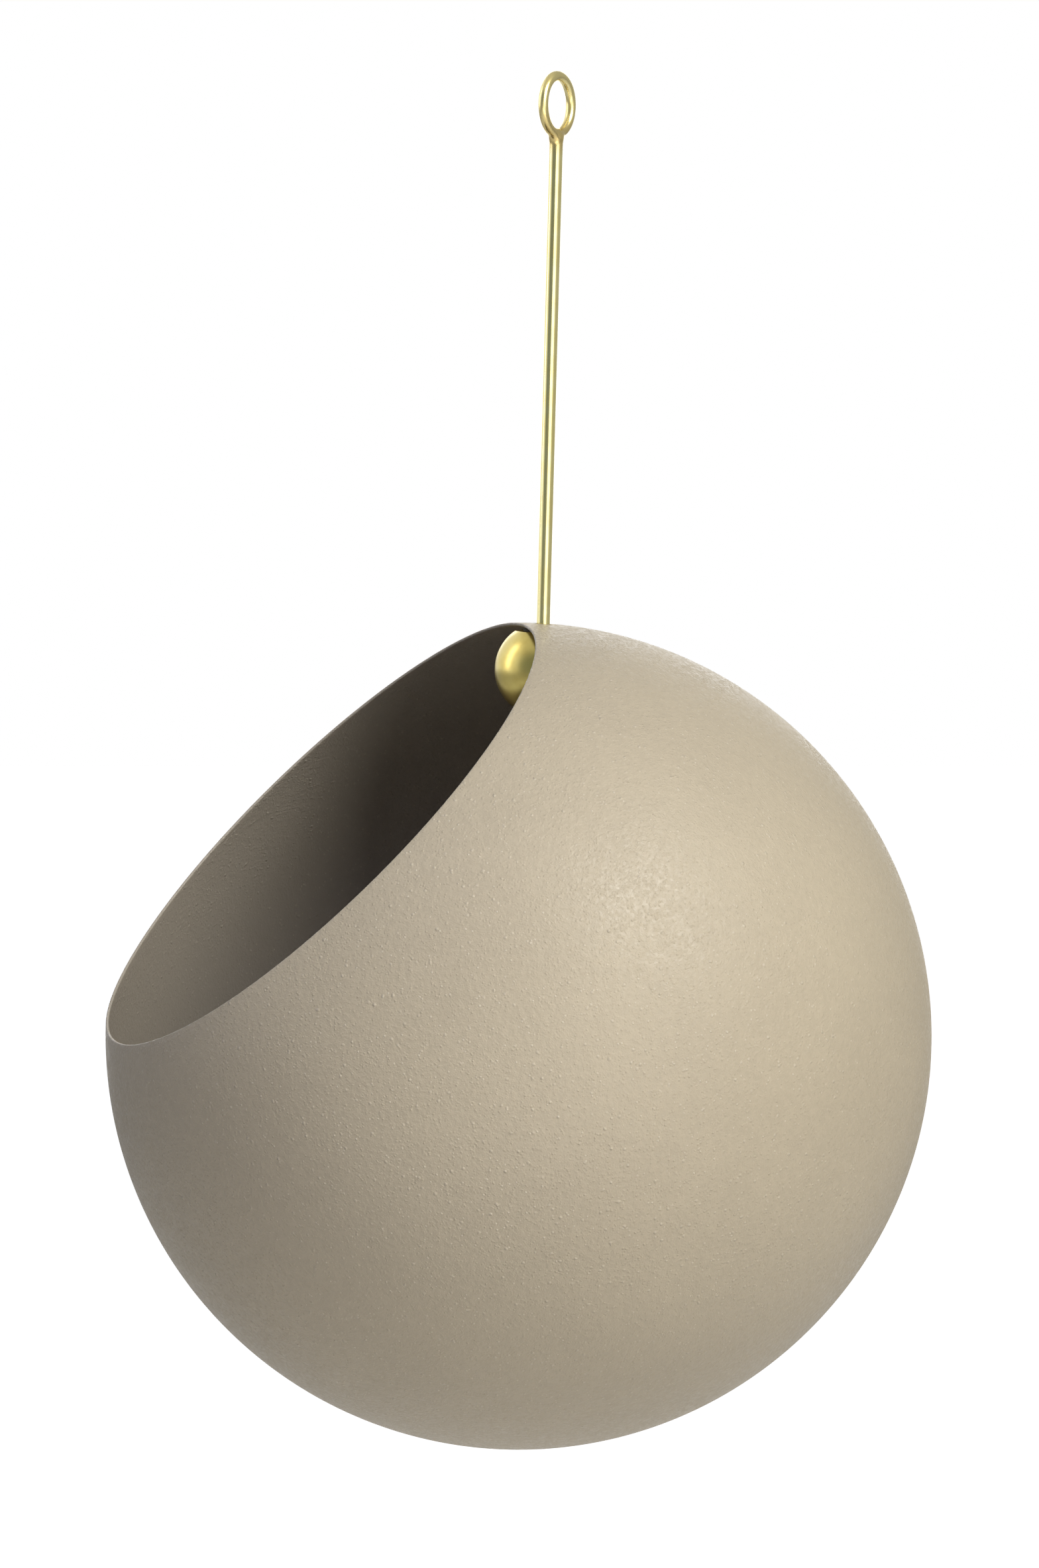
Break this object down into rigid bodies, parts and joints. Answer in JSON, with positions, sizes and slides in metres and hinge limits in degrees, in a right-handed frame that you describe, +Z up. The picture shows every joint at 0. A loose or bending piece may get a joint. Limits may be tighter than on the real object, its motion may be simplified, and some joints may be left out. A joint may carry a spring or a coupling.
{
  "type": "hanging planter",
  "caption": "Hanging planter: a coated sheet-metal globe with a slanted round mouth, carried by a slim brass rod with a hanging eye above and a stop ball inside; the globe swivels and lifts.",
  "frame": {"origin": "top of the hanging eye's hole, where a hook bears, on the rod's axis", "axes": "+Z up along the rod; the mouth faces -X and up, and the globe is alike on both sides of the XZ plane"},
  "size_m": [0.21, 0.2098, 0.3485],
  "materials": {
    "powder_coat": "matt fine-grained powder coat, warm taupe, the same inside and out",
    "polished_brass": "polished pale yellow brass",
    "satin_brass": "satin brass",
    "soft_seat": "matt dark rubber"
  },
  "bodies": {
    "hanger": {"hanging_rod": "polished_brass", "hanging_eye": "polished_brass", "stop_ball": "satin_brass"},
    "seat": {"seat_washer": "soft_seat"},
    "globe": {"globe_shell": "powder_coat"}
  },
  "joints": [
    {"name": "globe_swivel", "type": "hinge", "parent": "hanger", "child": "seat", "pos_m": [0, 0, -0.13797], "axis": [0, 0, 1], "continuous": true},
    {"name": "globe_lift", "type": "slide", "parent": "seat", "child": "globe", "axis": [0, 0, 1], "range_m": [0, 0.118]}
  ]
}
